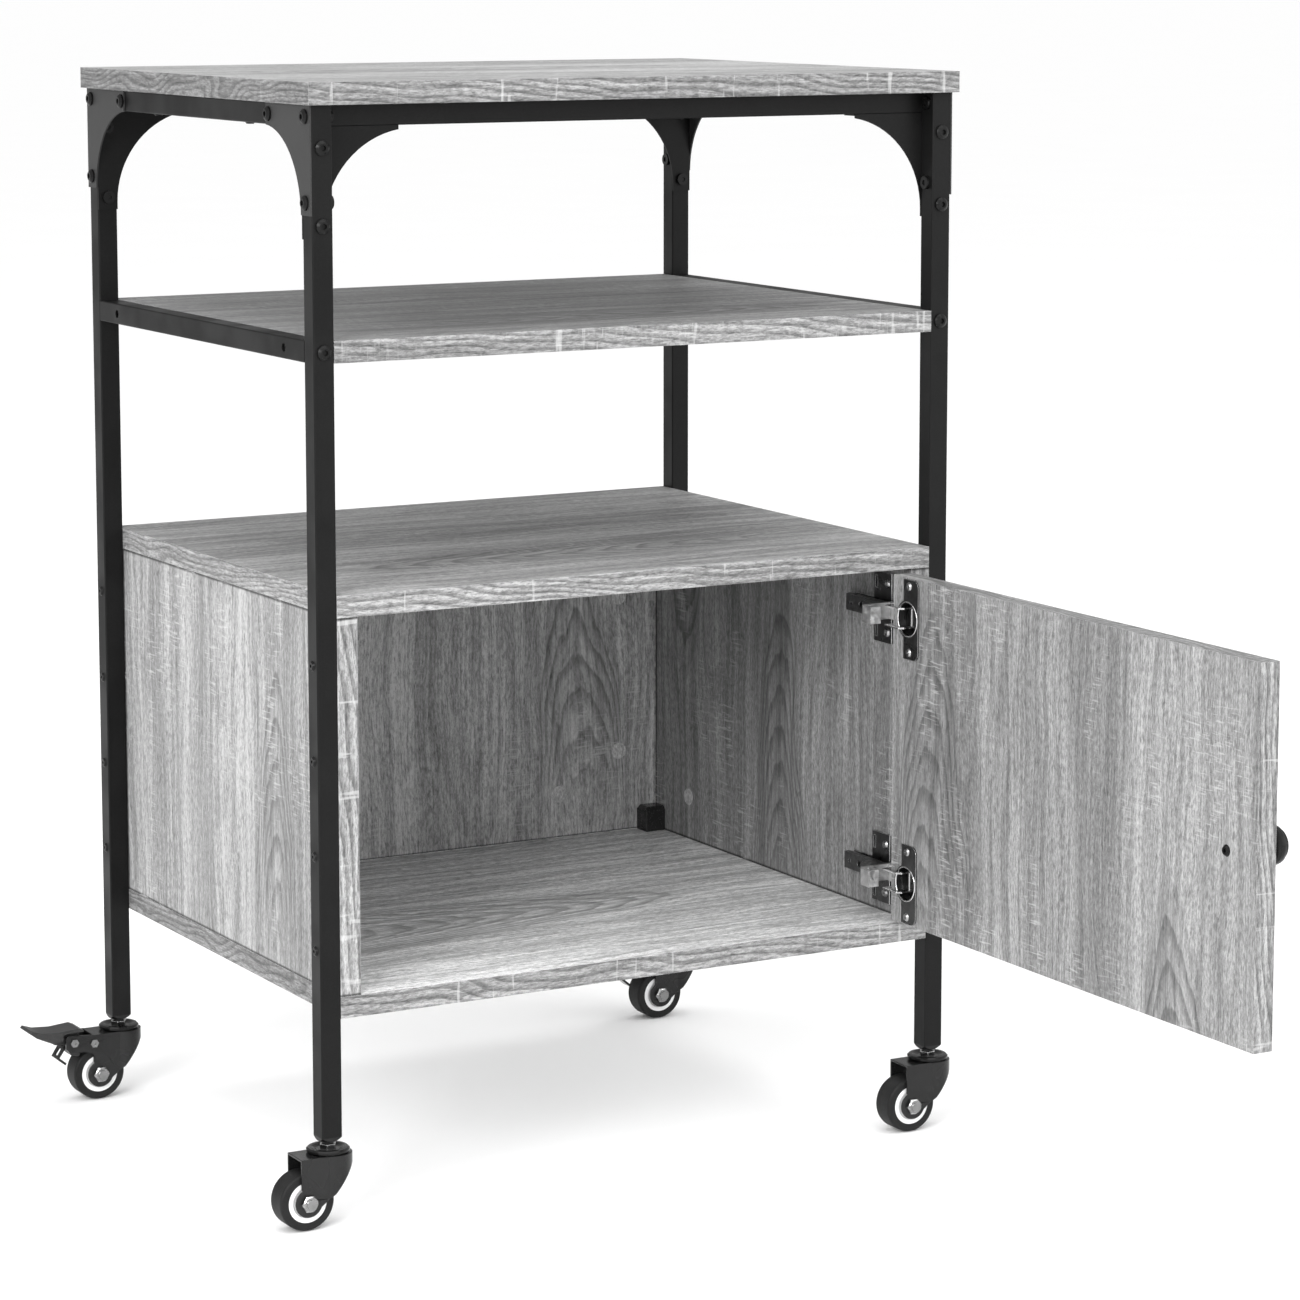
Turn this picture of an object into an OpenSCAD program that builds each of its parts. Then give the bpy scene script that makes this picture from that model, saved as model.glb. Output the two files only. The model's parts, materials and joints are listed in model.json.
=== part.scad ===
// Rolling kitchen island cart: steel tube frame, wooden worktop and shelf,
// a wooden cabinet with one inset door, and four swivel casters.
// Millimetres, +Z up. The origin is on the floor, at the middle of the box that
// holds the whole cart with its door open.

/* [Cart] */
// Width of the worktop
top_w = 510; // [480:5:560]
// Depth of the worktop
top_d = 400; // [360:5:440]
// Height of the worktop above the floor
cart_h = 776; // [740:2:820]
// Thickness of every board
board_t = 15; // [15:1:16]

/* [Frame] */
// Side of the square tube
tube = 15; // [15:1:16]
// Wall of the square tube
wall = 1.2; // [1:0.1:1.5]
// Worktop overhang at the left and right
overhang_x = 4; // [3:0.5:8]
// Worktop overhang at the front and rear
overhang_y = 5; // [3:0.5:8]
// Thickness of the gusset plates
plate_t = 1.2; // [1:0.1:1.5]

/* [Cabinet] */
// Top of the shelf above the floor
shelf_top = 605; // [590:1:620]
// Top of the cabinet above the floor
cab_top = 434; // [428:1:444]
// Outside height of the cabinet
cab_h = 290; // [280:1:300]
// Clearance between the closed door and the side panels
door_gap_x = 7; // [6:0.5:8]
// Clearance between the door and the boards above and below it
door_gap_z = 3; // [2:0.5:4]

/* [Hinges] */
// Distance of each hinge from the middle of the door's height
hinge_offset = 97; // [85:1:100]
// Diameter of the hinge cup
cup_d = 26; // [26:1:28]
// Distance from the door's edge to the middle of the cup
cup_inset = 20; // [19:0.5:21]

/* [Casters] */
// Wheel diameter
wheel_d = 40; // [38:1:42]
// Wheel width
wheel_w = 18; // [16:1:19]
// Horizontal distance from the swivel axis to the axle
trail = 19.5; // [18:0.5:20]
// Outside width of the fork
fork_w = 23.5; // [23:0.5:26]

/* [Hidden] */

$fn = 48;
eps = 0.01;

wood = [0.68, 0.67, 0.66];
black = [0.13, 0.13, 0.14];
steel = [0.72, 0.72, 0.73];
white = [0.92, 0.92, 0.90];
rubber = [0.10, 0.10, 0.10];

// Frame levels and planes, measured from the middle of the worktop
frame_x = top_w / 2 - overhang_x;
frame_y = top_d / 2 - overhang_y;
inner_x = frame_x - tube;
inner_y = frame_y - tube;
leg_x = frame_x - tube / 2;
leg_y = frame_y - tube / 2;
rail_z = cart_h - board_t - tube;
mid_z = shelf_top - tube;
tube_r = 1;

// Casters: heights above the floor
plug_z = 58.6;
leg_bottom = 62;
wheel_r = wheel_d / 2;
crown_z = 50.7;
fork_t = 1.6;
disc_r = 15;
disc_z = 51.3;
disc_h = 3.2;
stem_r = 4;
stem_len = 30;
rivet_low = 4.5;
rivet_r = 5.5;
fork_round = 10;
locknut_r = 5.2;
locknut_h = 3.4;
rim_inner = 10.8;
web_r = [6.5, 10];
hub_r = 6;
swivel_r = 3.5;
axle_r = 2.5;
axle_end = 4;
nose_x = 3.2;
nose_r = 2;
neck_x = -25;
ear_x = -47;
pivot = [-40.5, 46.6];
second_pin = [-24.6, 44.5];
pin_r = 2;
pedal_tip = 75;
pedal_w = 23;
shoe_w = 14;
leaf_w = 11;

// Cabinet and door
cab_bottom = cab_top - cab_h;
side_z = cab_bottom + board_t;
side_h = cab_h - 2 * board_t;
cab_mid = cab_bottom + cab_h / 2;
side_in = inner_x - board_t;
back_y = frame_y - board_t;
door_w = 2 * (side_in - door_gap_x);
door_h = side_h - 2 * door_gap_z;
door_t = board_t;
door_z = side_z + door_gap_z;
door_in = side_in - 0.5 - door_t;
door_edge = -frame_y - 0.6;
hinge_z = [cab_mid - hinge_offset, cab_mid + hinge_offset];

// The hinge pin carries the door from its closed corner to its open corner
closed_corner = [side_in - door_gap_x, -frame_y + door_t];
open_corner = [door_in, door_edge];
pin_x = (open_corner[0] - open_corner[1] + closed_corner[0] + closed_corner[1]) / 2;
pin_y = (open_corner[0] + open_corner[1] - closed_corner[0] + closed_corner[1]) / 2;
hinge_pin_r = 1.2;
barrel_r = 2.4;
arm_front = closed_corner[1] + 4.5;
plate_screw_y = arm_front + 10;
arm_half = 6.2;
pin_half = 8;
cup_y = door_edge - cup_inset;
cup_depth = 11;
wing_half = 29;

// Fasteners
wing_screw_z = [-24, 24];
wing_screw_y = -2;
plate_screw_z = [-18, 18];
access_r = 2.9;
worktop_bite = 10;
socket_r = 2.1;
socket_depth = 1.6;
nut_r = 4.6;
nut_h = 2.6;
flange_screw_x = 28;
worktop_screw_y = 80;
bolt_r = 3;
bolt_hole = 3.1;
head_r = 5;
head_h = 2.8;
screw_r = 2;
gusset_bolt_z = [cart_h - 22.8, cart_h - 79.5];
cross_bolt_z = [cart_h - 43.3, cart_h - 94.9];
rail_bolt_y = frame_y - 65.7;
mid_bolt_z = mid_z + tube / 2;
shelf_screw_y = 147;
panel_screw_pitch = 65.2;
panel_screw_z = [for (i = [-1.5:1:1.5]) cab_mid + i * panel_screw_pitch];
knob_y = door_edge - door_w + 32;

// Bounds of the cart with the door open give the place of the origin
low_x = -leg_x - pedal_tip;
high_x = leg_x + nose_x + fork_w / 2 + nose_r;
low_y = door_edge - door_w;
high_y = leg_y + fork_w / 2 + axle_end;
shift = [-(low_x + high_x) / 2, -(low_y + high_y) / 2, 0];

// Left and right, front and rear
left = -1;
right = 1;
front = -1;
rear = 1;

module cart() {
    translate(shift) children();
}

module at_corners() {
    for (sx = [left, right], sy = [front, rear])
        translate([sx * leg_x, sy * leg_y, 0])
            scale_sign(sx, sy) children();
}

// Mirrors children into the quadrant with signs sx and sy
module scale_sign(sx, sy) {
    mirror([sx > 0 ? 1 : 0, 0, 0])
        mirror([0, sy > 0 ? 1 : 0, 0])
            children();
}

module rounded_square(side, r) {
    square([side, side - 2 * r], center = true);
    square([side - 2 * r, side], center = true);
    for (x = [-1, 1], y = [-1, 1])
        translate([x * (side / 2 - r), y * (side / 2 - r)])
            circle(r);
}

// Square tube along +Z from the origin
module square_tube(length) {
    linear_extrude(length)
        difference() {
            rounded_square(tube, tube_r);
            rounded_square(tube - 2 * wall, tube_r / 2);
        }
}

module bar_x(length) {
    translate([-length / 2, 0, 0]) rotate([0, 90, 0]) square_tube(length);
}

module bar_y(length) {
    translate([0, length / 2, 0]) rotate([90, 0, 0]) square_tube(length);
}

module hole_x(y, z, r, length) {
    translate([0, y, z]) rotate([0, 90, 0]) cylinder(r = r, h = length, center = true);
}

module hole_y(x, z, r, length) {
    translate([x, 0, z]) rotate([90, 0, 0]) cylinder(r = r, h = length, center = true);
}

module board(size, low) {
    color(wood) translate(low) cube(size);
}

module worktop() {
    cart()
        difference() {
            board([top_w, top_d, board_t], [-top_w / 2, -top_d / 2, cart_h - board_t]);
            worktop_screw_places() cylinder(r = screw_r, h = tube + worktop_bite);
        }
}

// One leg, with holes for the gusset bolts, the rail bolt and the panel screws
module leg(sx, sy) {
    color(black) cart()
        translate([sx * leg_x, sy * leg_y, 0])
            difference() {
                translate([0, 0, leg_bottom]) square_tube(cart_h - board_t - leg_bottom);
                for (z = gusset_bolt_z) hole_x(0, z, bolt_hole, tube + 2);
                for (z = cross_bolt_z) hole_y(0, z, bolt_hole, tube + 2);
                hole_y(0, mid_bolt_z, bolt_hole, tube + 2);
                for (z = panel_screw_z) hole_x(0, z, screw_r + 0.1, tube + 2);
            }
}

module leg_front_left() { leg(left, front); }
module leg_front_right() { leg(right, front); }
module leg_rear_left() { leg(left, rear); }
module leg_rear_right() { leg(right, rear); }

// Rail under the worktop, between a front and a rear leg
module top_rail(sx) {
    color(black) cart()
        difference() {
            translate([sx * leg_x, 0, rail_z + tube / 2]) bar_y(2 * inner_y);
            for (sy = [front, rear])
                translate([sx * leg_x, 0, 0])
                    hole_x(sy * rail_bolt_y, gusset_bolt_z[0], bolt_hole, tube + 2);
            worktop_screw_places() cylinder(r = screw_r + 0.1, h = tube + 1);
        }
}

module top_rail_left() { top_rail(left); }
module top_rail_right() { top_rail(right); }

// Bar between the two top rails, just behind the legs
module crossbar(sy) {
    color(black) cart()
        difference() {
            translate([0, sy * (inner_y - tube / 2), rail_z + tube / 2]) bar_x(2 * inner_x);
            flange_screw_places(sy) cylinder(r = screw_r + 0.1, h = wall + 1);
        }
}

module crossbar_front() { crossbar(front); }
module crossbar_rear() { crossbar(rear); }

// Rail beside the shelf, screwed to the shelf's edge
module mid_rail(sx) {
    color(black) cart()
        difference() {
            translate([sx * leg_x, 0, mid_z + tube / 2]) bar_y(2 * inner_y);
            for (y = [-shelf_screw_y, shelf_screw_y])
                translate([sx * leg_x, 0, 0])
                    hole_x(y, mid_bolt_z, screw_r + 0.1, tube + 2);
            for (y = [-shelf_screw_y, shelf_screw_y])
                translate([sx * (leg_x + tube / 2), 0, 0])
                    hole_x(y, mid_bolt_z, access_r, 2 * wall + 0.2);
        }
}

module mid_rail_left() { mid_rail(left); }
module mid_rail_right() { mid_rail(right); }

// Curved corner plate, flat in the plane of its first two axes, corner at the origin
side_arm = 70;
side_drop = 73;
side_arc = 59;
module side_plate_outline() {
    difference() {
        square([side_arm, side_drop]);
        translate([tube + side_arc, tube + side_arc]) circle(side_arc, $fn = 96);
        translate([tube, side_drop - eps]) square(side_arm);
    }
}

// Four plates on the outer faces of the legs and top rails
module side_gussets() {
    color(black) cart()
        for (sx = [left, right], sy = [front, rear])
            scale_sign(sx, sy)
                difference() {
                    translate([-frame_x, -frame_y, cart_h - board_t])
                        rotate([0, 90, 0])
                            mirror([0, 0, 1])
                                linear_extrude(plate_t)
                                    rotate(90) mirror([0, 1]) side_plate_outline();
                    for (z = gusset_bolt_z)
                        translate([-frame_x, 0, 0]) hole_x(-leg_y, z, bolt_hole, 4);
                    translate([-frame_x, 0, 0]) hole_x(-rail_bolt_y, gusset_bolt_z[0], bolt_hole, 4);
                }
}

// Corner plate behind a front leg, with a flange under the crossbar
cross_arm = 71;
cross_drop = 74;
cross_arc = 66.6;
cross_arc_v = 68.6;
module cross_plate_outline() {
    difference() {
        square([cross_arm, cross_drop]);
        translate([tube + cross_arc, cross_arc_v]) circle(cross_arc, $fn = 96);
        translate([tube, cross_arc_v]) square(cross_arm);
    }
}

module cross_gussets() {
    color(black) cart()
        for (sx = [left, right], sy = [front, rear])
            scale_sign(sx, sy)
                difference() {
                    union() {
                        translate([-frame_x, -inner_y, rail_z])
                            rotate([-90, 0, 0])
                                linear_extrude(plate_t) cross_plate_outline();
                        translate([-frame_x, -inner_y, rail_z - plate_t])
                            cube([cross_arm, tube, plate_t]);
                    }
                    for (z = cross_bolt_z)
                        translate([0, -inner_y, 0]) hole_y(-leg_x, z, bolt_hole, 4);
                    translate([-inner_x + flange_screw_x, -inner_y + tube / 2, rail_z - 2])
                        cylinder(r = screw_r + 0.1, h = 3);
                }
}

module middle_shelf() {
    cart()
        difference() {
            board([2 * inner_x, 2 * frame_y, board_t], [-inner_x, -frame_y, shelf_top - board_t]);
            for (sx = [left, right], sy = [front, rear])
                translate([sx * inner_x, 0, 0]) hole_x(sy * shelf_screw_y, mid_bolt_z, screw_r, 40);
        }
}

module cabinet_top() {
    cart()
        difference() {
            board([2 * inner_x, 2 * frame_y, board_t], [-inner_x, -frame_y, cab_top - board_t]);
            dowel_places();
        }
}

module cabinet_bottom() {
    cart()
        difference() {
            board([2 * inner_x, 2 * frame_y, board_t], [-inner_x, -frame_y, cab_bottom]);
            dowel_places();
        }
}

module cabinet_side(sx) {
    cart()
        difference() {
            board([board_t, 2 * frame_y, side_h],
                  [sx > 0 ? side_in : -inner_x, -frame_y, side_z]);
            for (sy = [front, rear], z = panel_screw_z)
                translate([sx * inner_x, 0, 0]) hole_x(sy * leg_y, z, screw_r, 22);
            dowel_places();
            if (sx > 0)
                for (z = hinge_z, dz = plate_screw_z)
                    translate([side_in, 0, 0]) hole_x(plate_screw_y, z + dz, screw_r, 20);
        }
}

module cabinet_side_left() { cabinet_side(left); }
module cabinet_side_right() { cabinet_side(right); }

module cabinet_back() {
    cart()
        board([2 * side_in, board_t, side_h], [-side_in, back_y, side_z]);
}

// Wooden dowels between the boards: solids when drawn, holes when subtracted
dowel_r = 3;
dowel_len = 20;
module dowel_places() {
    for (sx = [left, right], y = [-150, 0, 150], z = [side_z, side_z + side_h])
        translate([sx * (inner_x - board_t / 2), y, z])
            cylinder(r = dowel_r, h = dowel_len, center = true);
}

module dowels() {
    color([0.75, 0.62, 0.42]) cart() dowel_places();
}

// Small plastic blocks in the rear corners of the cabinet's floor
block = [18, 16, 20];
module corner_blocks() {
    color(black) cart()
        for (sx = [left, right])
            translate([sx * side_in, back_y, side_z])
                mirror([sx > 0 ? 1 : 0, 0, 0])
                    mirror([0, 1, 0])
                        difference() {
                            cube(block);
                            translate([block[0], 0, block[2]])
                                rotate([-90, 0, 0]) rotate(45) cube([4, 4, 60], center = true);
                            translate([0, block[1], block[2]])
                                rotate([0, 90, 0]) rotate(45) cube([4, 4, 60], center = true);
                        }
}

// Thin round covers over the fittings in the back and side panels
cover_r = 6.5;
cover_t = 0.5;
module cam_covers() {
    color(wood) cart() {
        for (sx = [left, right], z = [side_z + 65.5, side_z + 191])
            translate([sx * (side_in - 34.5), back_y, z])
                rotate([90, 0, 0]) cylinder(r = cover_r, h = cover_t);
        for (x = [-132, 132], z = [side_z + 35.6])
            translate([x, back_y, z])
                rotate([90, 0, 0]) cylinder(r = cover_r, h = cover_t);
        for (sx = [left, right])
            translate([sx * side_in, 127, side_z + 34])
                rotate([0, -sx * 90, 0]) cylinder(r = cover_r, h = cover_t);
    }
}

// Plastic plug in the foot of each leg, bored for the caster stem. A ball that is
// larger than the tube rounds the foot's corners.
foot_ball = 12.9;
foot_rise = 11.3;
module leg_plugs() {
    color(black) cart()
        at_corners()
            difference() {
                union() {
                    translate([0, 0, leg_bottom])
                        linear_extrude(22) rounded_square(tube - 2 * wall, tube_r / 2);
                    intersection() {
                        translate([0, 0, plug_z])
                            linear_extrude(leg_bottom - plug_z) rounded_square(tube, tube_r);
                        translate([0, 0, plug_z + foot_rise]) sphere(foot_ball, $fn = 96);
                    }
                }
                translate([0, 0, plug_z - 1]) cylinder(r = stem_r + 0.02, h = 40);
            }
}

// Button head bolt along +X: the head's flat is at the origin, the shank runs inwards
head_ball = 6.9;
module bolt(length, nut) {
    rotate([0, 90, 0]) {
        translate([0, 0, -head_h])
            difference() {
                intersection() {
                    cylinder(r = head_r, h = head_h);
                    translate([0, 0, head_ball - 0.7]) sphere(head_ball, $fn = 48);
                }
                translate([0, 0, -eps]) cylinder(r = socket_r, h = socket_depth, $fn = 6);
            }
        cylinder(r = bolt_r, h = length);
        if (nut > 0)
            translate([0, 0, length])
                difference() {
                    cylinder(r = nut_r, h = nut);
                    translate([0, 0, nut - 0.8]) cylinder(r = socket_r, h = 2, $fn = 6);
                }
    }
}

// Two bolts a leg and one a rail for each side plate, two a leg for each cross plate
module gusset_bolts() {
    color(black) cart()
        for (sx = [left, right], sy = [front, rear])
            scale_sign(sx, sy) {
                for (z = gusset_bolt_z)
                    translate([-frame_x - plate_t, -leg_y, z]) bolt(tube + plate_t, nut_h);
                translate([-frame_x - plate_t, -rail_bolt_y, gusset_bolt_z[0]])
                    bolt(tube + plate_t, nut_h);
                for (z = cross_bolt_z)
                    translate([-leg_x, -frame_y, z]) rotate(90) bolt(tube + plate_t, nut_h);
            }
}

// One bolt through each leg into the end of the mid rail
module rail_bolts() {
    color(black) cart()
        for (sx = [left, right], sy = [front, rear])
            scale_sign(sx, sy)
                translate([-leg_x, -frame_y, mid_bolt_z]) rotate(90) bolt(tube + 14, 0);
}

// Threaded plugs in the ends of the mid rails
module rail_inserts() {
    color(steel) cart()
        for (sx = [left, right], sy = [front, rear])
            scale_sign(sx, sy)
                translate([-leg_x, -inner_y, mid_bolt_z])
                    rotate([-90, 0, 0])
                        difference() {
                            linear_extrude(16) rounded_square(tube - 2 * wall, tube_r / 2);
                            translate([0, 0, -1]) cylinder(r = bolt_r, h = 20);
                        }
}

// Wood screw along +X with a domed head outside the origin
module screw(length, r_head, h_head) {
    rotate([0, 90, 0]) {
        translate([0, 0, -h_head])
            difference() {
                cylinder(r1 = r_head * 0.7, r2 = r_head, h = h_head);
                translate([0, 0, -eps]) cylinder(r = r_head * 0.35, h = h_head * 0.6, $fn = 6);
            }
        cylinder(r = screw_r, h = length);
    }
}

// Screws through the rails into the shelf's edge, and through the legs into the side panels
module board_screws() {
    color(black) cart()
        for (sx = [left, right], sy = [front, rear])
            scale_sign(sx, sy) {
                translate([-frame_x + 2 * wall, -shelf_screw_y, mid_bolt_z])
                    screw(tube + 15, 2.8, 1.2);
                for (z = panel_screw_z)
                    translate([-frame_x, -leg_y, z]) screw(tube + 11, 3.7, 1.3);
            }
}

module worktop_screw_places() {
    for (sx = [left, right], sy = [front, rear])
        translate([sx * leg_x, sy * worktop_screw_y, rail_z]) children();
}

module flange_screw_places(sy) {
    for (sx = [left, right])
        translate([sx * (inner_x - flange_screw_x), sy * (inner_y - tube / 2), rail_z - 0.5]) children();
}

// Screws that hold the worktop, and short ones that hold the gusset flanges
module worktop_screws() {
    color(black) cart() {
        worktop_screw_places() {
            cylinder(r = screw_r, h = tube + worktop_bite);
            translate([0, 0, -1.5]) cylinder(r1 = 2.6, r2 = 3.6, h = 1.5);
        }
        for (sy = [front, rear])
            flange_screw_places(sy)
                translate([0, 0, 0.5 - plate_t]) {
                    cylinder(r = screw_r, h = 8);
                    translate([0, 0, -1.5]) cylinder(r1 = 2.6, r2 = 3.6, h = 1.5);
                }
    }
}

// Cross-shaped plates on the right side panel, with slots for adjustment
hp_t = 1.6;
hp_wing = 26;
hp_w = 24;
hp_len = 49;
hp_rib = [5, 44, 8];
module hinge_plates() {
    color(steel) cart()
        for (z = hinge_z)
            difference() {
                union() {
                    translate([side_in - hp_t, arm_front + 4, z - hp_wing]) cube([hp_t, hp_w, 2 * hp_wing]);
                    translate([side_in - hp_t, arm_front + 4, z - arm_half])
                        cube([hp_t, hp_len, 2 * arm_half]);
                    translate([side_in - hp_rib[0], arm_front + 6, z - hp_rib[2] / 2]) cube(hp_rib);
                }
                for (dz = plate_screw_z)
                    translate([side_in, 0, 0]) hole_x(plate_screw_y, z + dz, screw_r, 20);
                for (dz = plate_screw_z)
                    translate([side_in - 2, plate_screw_y + 13, z + dz - 4.5]) cube([4, 3, 9]);
            }
}

module hinge_plate_screws() {
    color(steel) cart()
        for (z = hinge_z, dz = plate_screw_z)
            translate([side_in - hp_t, plate_screw_y, z + dz]) screw(11, 3.4, 1.4);
}

// Stamped arm over the plate. Its nose stands out from the panel and enters the cup
// when the door is closed, and a lug at its root carries the hinge pin.
arm_low = 10;
arm_t = 1.4;
arm_screw_y = arm_front + 33;
arm_cam_y = arm_front + 46;
nose_out = side_in - 31;
nose_in = side_in - 22.5;
nose_front = closed_corner[1] - 9.5;
module arm_outline() {
    polygon([
        [nose_out, nose_front], [nose_in, nose_front], [nose_in, arm_front],
        [side_in - 0.3, arm_front], [side_in - 0.3, arm_front + 2.6],
        [side_in - 5.2, arm_front + 5.6], [side_in - 5.2, arm_front + 53],
        [side_in - arm_low, arm_front + 53], [side_in - arm_low, arm_front + 24],
        [side_in - 24, arm_front + 9], [nose_out, arm_front - 3]
    ]);
}

module arm_core() {
    polygon([
        [nose_out + arm_t, nose_front + arm_t], [nose_in - arm_t, nose_front + arm_t],
        [nose_in - arm_t, arm_front + arm_t], [side_in - 7, arm_front + arm_t],
        [side_in - 4, arm_front + 60], [side_in - arm_low + arm_t, arm_front + 60],
        [side_in - arm_low + arm_t, arm_front + 23], [side_in - 23, arm_front + 7.6],
        [nose_out + arm_t, arm_front - 3.8]
    ]);
}

module hinge_arms() {
    color(steel) cart()
        for (z = hinge_z)
            translate([0, 0, z])
                difference() {
                    union() {
                        difference() {
                            translate([0, 0, -arm_half]) linear_extrude(2 * arm_half) arm_outline();
                            translate([0, 0, -arm_half + arm_t])
                                linear_extrude(2 * arm_half - 2 * arm_t) arm_core();
                        }
                        translate([0, 0, -arm_half])
                            linear_extrude(2 * arm_half) {
                                translate([pin_x, pin_y]) circle(barrel_r);
                                translate([pin_x - barrel_r, pin_y])
                                    square([2 * barrel_r, arm_front - pin_y + 0.5]);
                            }
                    }
                    translate([pin_x, pin_y, -20]) cylinder(r = hinge_pin_r, h = 40);
                    translate([nose_out + 3, nose_front + 3.4, arm_half - 3])
                        cube([nose_in - nose_out - 6, 6, 4]);
                    translate([side_in - 8, 0, 0]) {
                        hole_x(arm_cam_y, 0, 1.6, 10);
                        hole_x(arm_screw_y, 0, 2.2, 10);
                    }
                }
}

module hinge_pins() {
    color(steel) cart()
        for (z = hinge_z)
            translate([pin_x, pin_y, z - pin_half]) cylinder(r = hinge_pin_r, h = 2 * pin_half);
}

// The door hangs open at a right angle to the front
module door_panel() {
    cart()
        difference() {
            board([door_t, door_w, door_h], [door_in, door_edge - door_w, door_z]);
            for (z = hinge_z)
                translate([door_in, cup_y, z])
                    rotate([0, 90, 0])
                        cylinder(r = cup_d / 2, h = 2 * cup_depth + 0.4, center = true, $fn = 64);
            for (z = hinge_z, dz = wing_screw_z)
                translate([door_in, 0, 0]) hole_x(cup_y + wing_screw_y, z + dz, screw_r, 22);
            translate([door_in, 0, 0]) hole_x(knob_y, cab_mid, screw_r + 0.1, 60);
        }
}

// Cup pressed into the door, with a wing plate on the door's inner face
cup_wall = 0.8;
wing_t = 1.2;
module hinge_cups() {
    color(steel) cart()
        for (z = hinge_z)
            translate([door_in, cup_y, z])
                difference() {
                    rotate([0, 90, 0]) {
                        cylinder(r = cup_d / 2, h = cup_depth, $fn = 64);
                        translate([0, 0, -wing_t]) {
                            cylinder(r = cup_d / 2 + 1, h = wing_t, $fn = 64);
                            wing_outline();
                        }
                    }
                    rotate([0, 90, 0])
                        translate([0, 0, -2 * wing_t])
                            cylinder(r = cup_d / 2 - cup_wall, h = cup_depth + 2 * wing_t - cup_wall, $fn = 64);
                    for (dz = wing_screw_z) hole_x(wing_screw_y, dz, screw_r, 22);
                }
}

// Wing plate round the cup: the far corners are rounded, the near side is straight
wing_r = 6;
wing_near = 5;
wing_far = -14;
module wing_outline() {
    linear_extrude(wing_t)
        for (s = [-1, 1]) {
            translate([-wing_half + wing_r, wing_far])
                square([2 * (wing_half - wing_r), wing_near - wing_far]);
            translate([s * (wing_half - wing_r) - wing_r, wing_far + wing_r])
                square([2 * wing_r, wing_near - wing_far - wing_r]);
            translate([s * (wing_half - wing_r), wing_far + wing_r]) circle(wing_r);
        }
}

// Two plates from each cup round the door's edge to the pin, tied by a rod in the cup
strap_t = 1.2;
strap_z = arm_half + 0.3;
rod = [door_in + 7.8, door_edge - 12.7];
rod_r = 1.3;
module strap_outline() {
    translate([pin_x, pin_y]) circle(barrel_r + 0.2);
    translate([door_in - 5, door_edge + 0.7]) square([pin_x - door_in + 5, 3.6]);
    translate([door_in - 5, door_edge - 9]) square([3.4, 13.3]);
    polygon([
        [door_in - 5, door_edge - 7], [door_in - 1.6, door_edge - 7],
        [door_in - 1.6, door_edge - 10.8], [door_in + 9.4, door_edge - 10.8],
        [door_in + 9.4, door_edge - 14.6], [door_in - 1.6, door_edge - 16.6],
        [door_in - 5, door_edge - 13.6]
    ]);
}

module hinge_straps() {
    color(steel) cart()
        for (z = hinge_z)
            difference() {
                union() {
                    for (low = [-strap_z - strap_t, strap_z])
                        translate([0, 0, z + low]) linear_extrude(strap_t) strap_outline();
                    translate([rod[0], rod[1], z - strap_z - strap_t / 2])
                        cylinder(r = rod_r, h = 2 * strap_z + strap_t);
                }
                translate([pin_x, pin_y, z - 20]) cylinder(r = hinge_pin_r + 0.05, h = 40);
            }
}

module hinge_cup_screws() {
    color(steel) cart()
        for (z = hinge_z, dz = wing_screw_z)
            translate([door_in - wing_t, cup_y + wing_screw_y, z + dz]) screw(10, 3.2, 1.2);
}

// Turned knob on the outer face: stem, wide rim and a lower front dome
knob_stem = [6.5, 14];
module door_knob() {
    color(black) cart()
        translate([door_in + door_t, knob_y, cab_mid])
            rotate([0, 90, 0])
                difference() {
                    rotate_extrude($fn = 64) {
                        square(knob_stem);
                        polygon([
                            [0, 0], [8.5, 0], [8.5, 1.5], [6.5, 4], [6, 9], [8, 14], [12, 18],
                            [13.2, 20], [13.4, 22], [12.8, 24], [10.8, 25], [10.4, 27],
                            [8.5, 28.6], [4, 29.4], [0, 29.5]
                        ]);
                    }
                    translate([0, 0, -1]) cylinder(r = screw_r, h = knob_stem[1] + 1);
                }
}

module knob_screw() {
    color(black) cart()
        translate([door_in, knob_y, cab_mid]) screw(door_t + knob_stem[1] - 1, 4, 1.6);
}

// Swivel disc with a ball race below and a threaded stem up into the leg
module caster_stems() {
    color(black) cart()
        at_corners()
            translate([0, 0, disc_z]) {
                rotate_extrude($fn = 64)
                    polygon([
                        [0, 0], [disc_r - 1, 0], [disc_r, 0.9], [disc_r, 2.2], [disc_r - 1.2, disc_h],
                        [disc_r - 3.5, disc_h + 0.2], [8, 1.9], [0, 1.9]
                    ]);
                translate([0, 0, 1.5]) cylinder(r = stem_r, h = stem_len);
                translate([0, 0, -rivet_low]) cylinder(r = swivel_r, h = rivet_low + 0.5);
                translate([0, 0, -rivet_low]) cylinder(r = rivet_r, h = 2);
            }
}

module caster_nuts() {
    color(steel) cart()
        at_corners()
            translate([0, 0, disc_z + 1.9])
                difference() {
                    cylinder(r = 6, h = 3.6, $fn = 6);
                    translate([0, 0, -1]) cylinder(r = stem_r, h = 8);
                }
}

// Outline of the fork's crown seen from above
module crown_outline(w, rear_x) {
    translate([nose_x, 0]) circle(w / 2 + nose_r, $fn = 64);
    translate([rear_x, -w / 2]) square([nose_x - rear_x, w]);
}

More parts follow.
